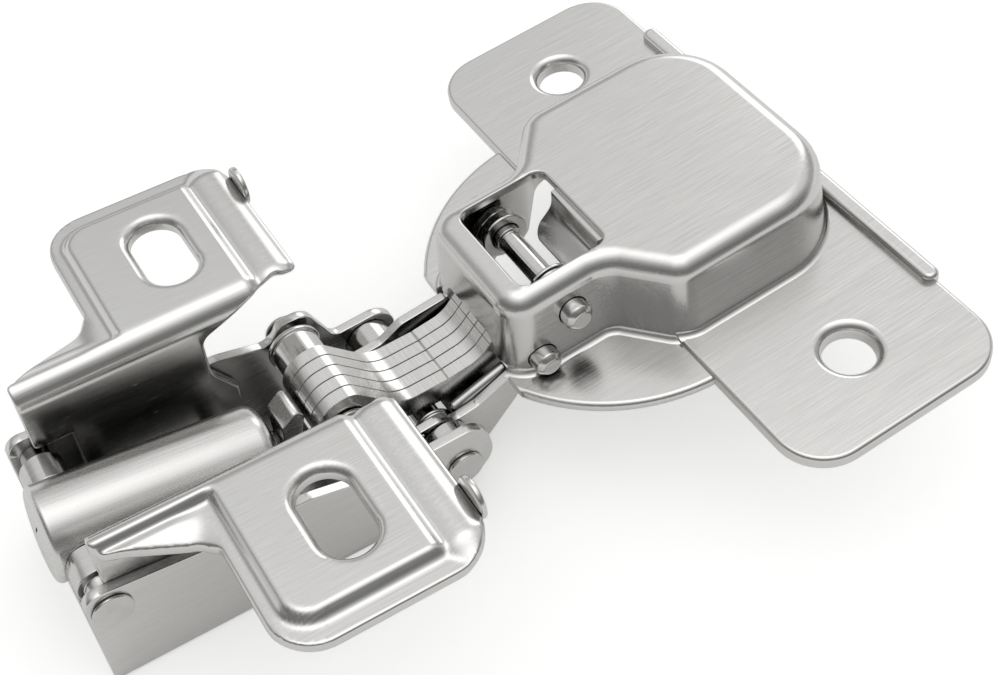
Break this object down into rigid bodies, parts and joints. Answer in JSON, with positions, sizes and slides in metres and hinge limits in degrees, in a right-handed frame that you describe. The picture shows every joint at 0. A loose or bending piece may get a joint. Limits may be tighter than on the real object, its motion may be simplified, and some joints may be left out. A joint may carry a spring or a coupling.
{
  "type": "concealed cup hinge",
  "caption": "Face-frame concealed cup hinge with slotted wings, a laminated curved arm, a folding outer link and a small soft-close damper.",
  "frame": {"origin": "midway between the two wing slots, on the plane of the pads that lies against the frame", "axes": "+X runs towards the cup, +Y along the pivot pins, +Z out of the wing pads into the frame; hinge shown fully open"},
  "size_m": [0.0776, 0.0618, 0.0221],
  "materials": {
    "nickel_sheet": "satin nickel plate over stamped steel",
    "profile_steel": "satin nickel plate on stamped profiles",
    "pin_steel": "turned, nickel plated",
    "spring_steel": "drawn spring wire",
    "damper_tube": "satin nickel plate on a drawn tube"
  },
  "bodies": {
    "base": {"wing_plate": "nickel_sheet", "arm_body": "nickel_sheet", "pivot_inner": "pin_steel", "pivot_outer": "pin_steel", "link_spacer_left": "pin_steel", "link_spacer_right": "pin_steel", "link_spring_left": "spring_steel", "link_spring_right": "spring_steel", "arm_spring_left": "spring_steel", "arm_spring_right": "spring_steel", "damper_barrel": "damper_tube", "damper_rear_cap": "damper_tube", "damper_gland": "damper_tube", "trunnion_left": "pin_steel", "trunnion_right": "pin_steel"},
    "arm": {"arm_leaf_1": "profile_steel", "arm_leaf_2": "profile_steel", "arm_leaf_3": "profile_steel", "arm_leaf_4": "profile_steel", "arm_leaf_5": "profile_steel"},
    "cup": {"cup": "nickel_sheet", "cup_pin_rear": "pin_steel", "cup_pin_front": "pin_steel"},
    "outer_link": {"outer_link": "nickel_sheet", "link_bush_left": "pin_steel", "link_bush_right": "pin_steel", "spring_leg_left": "spring_steel", "spring_leg_right": "spring_steel"},
    "damper_rod": {"damper_rod": "pin_steel", "damper_piston": "damper_tube", "push_strut": "damper_tube"}
  },
  "joints": [
    {"name": "arm_turn", "type": "hinge", "parent": "base", "child": "arm", "pos_m": [0.00708, 0, -0.00865], "axis": [0, -1, 0], "range_deg": [0, 51.11]},
    {"name": "cup_swing", "type": "hinge", "parent": "arm", "child": "cup", "pos_m": [0.02447, 0, -0.00672], "axis": [0, 1, 0], "range_deg": [0, 148.1]},
    {"name": "link_turn", "type": "hinge", "parent": "cup", "child": "outer_link", "pos_m": [0.02773, 0, -0.00289], "axis": [0, -1, 0], "range_deg": [0, 129.84]},
    {"name": "damper_slide", "type": "slide", "parent": "base", "child": "damper_rod", "axis": [-0.9912, 0, 0.1323], "range_m": [0, 0.00055]}
  ],
  "couplings": [
    {"joint": "arm_turn", "follows": "cup_swing", "ratio": 0.345},
    {"joint": "link_turn", "follows": "cup_swing", "ratio": 0.87664},
    {"joint": "damper_slide", "follows": "cup_swing", "m_per_rad": 0.0001934}
  ]
}
